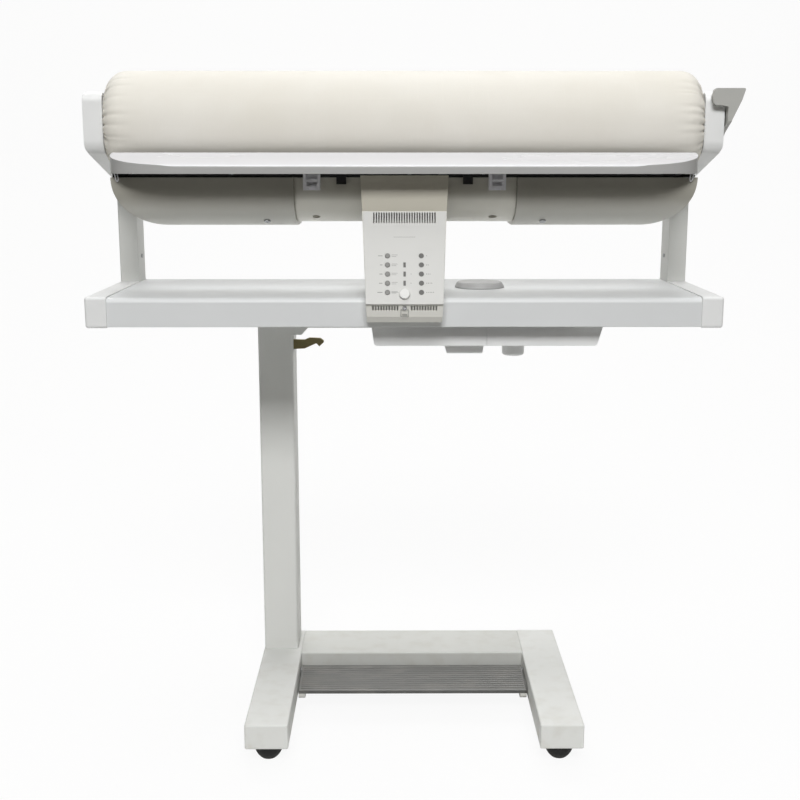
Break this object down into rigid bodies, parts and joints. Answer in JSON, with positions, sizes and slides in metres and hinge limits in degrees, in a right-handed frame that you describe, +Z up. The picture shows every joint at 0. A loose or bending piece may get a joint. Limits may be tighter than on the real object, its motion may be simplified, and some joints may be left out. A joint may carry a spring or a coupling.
{
  "type": "flatwork ironer",
  "caption": "Free-standing rotary steam ironer: padded roller over a heated shoe, feed board, control head, shelf with water tank, off-centre column with fold joint and treadle base.",
  "frame": {"origin": "middle of the footprint of the whole machine, on the floor", "axes": "+X along the roller towards the release handle, +Y from the user's side to the back, +Z up"},
  "size_m": [0.9139, 0.348, 0.9629],
  "materials": {
    "frame_paint": "light grey stoved paint",
    "shelf_paint": "light grey stoved paint",
    "cover_paint": "satin grey paint",
    "shell_plastic": "fine-grained light grey moulding",
    "panel_plastic": "smooth light grey",
    "handle_plastic": "grey moulding",
    "cap_plastic": "grey moulding",
    "lens_plastic": "unlit smoked windows and lamps",
    "key_plastic": "mid-grey moulding",
    "white_plastic": "white moulding",
    "rubber_black": "black rubber",
    "steel_bright": "plain bright steel",
    "core_steel": "rolled steel tube",
    "motor_paint": "dark grey paint",
    "treadle_paint": "ribbed dark grey",
    "treadle_shoe_plastic": "light grey moulding",
    "dark_plastic": "black moulding",
    "latch_bronze": "dark bronze-coloured zinc plate",
    "shoe_aluminium": "polished pressing face",
    "roller_cloth": "undyed heavy cotton over padding",
    "board_green": "circuit board",
    "boiler_aluminium": "cast",
    "tank_plastic": "milky blow-moulded tank"
  },
  "bodies": {
    "stand": {"base_left_foot": "frame_paint", "base_right_foot": "frame_paint", "base_crossbar": "frame_paint", "foot_rear_plugs": "shell_plastic", "floor_glides": "rubber_black", "column_tube": "frame_paint", "pivot_bracket": "frame_paint", "stand_pins": "steel_bright", "head_rest_pad": "rubber_black", "treadle_switch": "dark_plastic"},
    "treadle": {"treadle_plate": "treadle_paint", "treadle_end_shoes": "treadle_shoe_plastic"},
    "latch": {"latch_lever": "latch_bronze"},
    "head": {"shelf_panel": "shelf_paint", "shelf_end_caps": "shell_plastic", "underframe": "frame_paint", "left_post": "frame_paint", "right_post": "frame_paint", "left_arm_cover": "shell_plastic", "right_arm_cover": "shell_plastic", "roller_bearing": "steel_bright", "roller_motor": "motor_paint", "head_pins": "steel_bright", "control_housing": "shell_plastic", "front_panel": "panel_plastic", "indicator_lenses": "lens_plastic", "circuit_board": "board_green", "press_motor": "motor_paint", "trim_screws": "steel_bright", "steam_tray": "shell_plastic", "tank_tray": "shell_plastic", "pump_cover": "shell_plastic", "water_pump": "dark_plastic", "steam_boiler": "boiler_aluminium", "water_tank": "tank_plastic", "mains_inlet": "dark_plastic"},
    "tank_filler_cap": {"filler_cap": "cap_plastic"},
    "tank_drain_cap": {"drain_cap": "shell_plastic"},
    "roller": {"roller_core": "core_steel", "roller_hubs": "core_steel", "roller_cover": "roller_cloth"},
    "shoe": {"shoe_trough": "shoe_aluminium", "heating_rods": "steel_bright", "shoe_end_plates": "steel_bright", "left_shoe_cover": "cover_paint", "centre_shoe_cover": "cover_paint", "right_shoe_cover": "cover_paint", "front_bridge": "rubber_black", "board_clips": "white_plastic", "board_bumpers": "rubber_black", "cover_screws": "steel_bright"},
    "board": {"feed_board": "white_plastic"},
    "press_rod": {"push_rod": "steel_bright"},
    "handle": {"release_handle": "handle_plastic"},
    "start": {"start_button": "white_plastic"},
    "key_1": {"program_key_1": "key_plastic"},
    "key_2": {"program_key_2": "key_plastic"},
    "key_3": {"program_key_3": "key_plastic"},
    "key_4": {"program_key_4": "key_plastic"},
    "key_5": {"program_key_5": "key_plastic"}
  },
  "joints": [
    {"name": "head_fold", "type": "hinge", "parent": "stand", "child": "head", "pos_m": [-0.03265, 0.10435, 0.6], "axis": [0, 1, 0], "range_deg": [0, 90]},
    {"name": "treadle_hinge", "type": "hinge", "parent": "stand", "child": "treadle", "pos_m": [0.00155, 0.07, 0.0375], "axis": [1, 0, 0], "range_deg": [0, 4], "stiffness_Nm_per_rad": 8, "springref_deg": -14.32},
    {"name": "latch_hinge", "type": "hinge", "parent": "stand", "child": "latch", "pos_m": [-0.19765, 0.108, 0.56], "axis": [0, -1, 0], "range_deg": [0, 18], "stiffness_Nm_per_rad": 0.3, "springref_deg": -22.92},
    {"name": "filler_cap_lift", "type": "slide", "parent": "head", "child": "tank_filler_cap", "axis": [0, 0, 1], "range_m": [0, 0.03]},
    {"name": "drain_cap_turn", "type": "hinge", "parent": "head", "child": "tank_drain_cap", "pos_m": [0.13985, -0.073, 0.58], "axis": [0, 0, 1], "continuous": true},
    {"name": "roller_turn", "type": "hinge", "parent": "head", "child": "roller", "pos_m": [-0.01265, 0.007, 0.888], "axis": [1, 0, 0], "continuous": true},
    {"name": "shoe_press", "type": "hinge", "parent": "head", "child": "shoe", "pos_m": [-0.01265, 0.099, 0.775], "axis": [-1, 0, 0], "range_deg": [0, 3]},
    {"name": "board_tip", "type": "hinge", "parent": "shoe", "child": "board", "pos_m": [-0.01265, -0.081, 0.838], "axis": [-1, 0, 0], "range_deg": [0, 60]},
    {"name": "press_rod_lift", "type": "slide", "parent": "head", "child": "press_rod", "axis": [0, 0, 1], "range_m": [0, 0.006]},
    {"name": "handle_hinge", "type": "hinge", "parent": "head", "child": "handle", "pos_m": [0.43685, 0.007, 0.888], "axis": [1, 0, 0], "range_deg": [0, 35], "stiffness_Nm_per_rad": 0.3, "springref_deg": -20.05},
    {"name": "key_1_push", "type": "slide", "parent": "head", "child": "key_1", "axis": [0, 0.9213, -0.3888], "range_m": [0, 0.0008], "stiffness_N_per_m": 300, "springref_m": -0.003},
    {"name": "key_2_push", "type": "slide", "parent": "head", "child": "key_2", "axis": [0, 0.9213, -0.3888], "range_m": [0, 0.0008], "stiffness_N_per_m": 300, "springref_m": -0.003},
    {"name": "key_3_push", "type": "slide", "parent": "head", "child": "key_3", "axis": [0, 0.9213, -0.3888], "range_m": [0, 0.0008], "stiffness_N_per_m": 300, "springref_m": -0.003},
    {"name": "key_4_push", "type": "slide", "parent": "head", "child": "key_4", "axis": [0, 0.9213, -0.3888], "range_m": [0, 0.0008], "stiffness_N_per_m": 300, "springref_m": -0.003},
    {"name": "key_5_push", "type": "slide", "parent": "head", "child": "key_5", "axis": [0, 0.9213, -0.3888], "range_m": [0, 0.0008], "stiffness_N_per_m": 300, "springref_m": -0.003},
    {"name": "start_push", "type": "slide", "parent": "head", "child": "start", "axis": [0, 0.9213, -0.3888], "range_m": [0, 0.002], "stiffness_N_per_m": 300, "springref_m": -0.004}
  ],
  "couplings": [
    {"joint": "press_rod_lift", "follows": "shoe_press", "m_per_rad": 0.108}
  ]
}
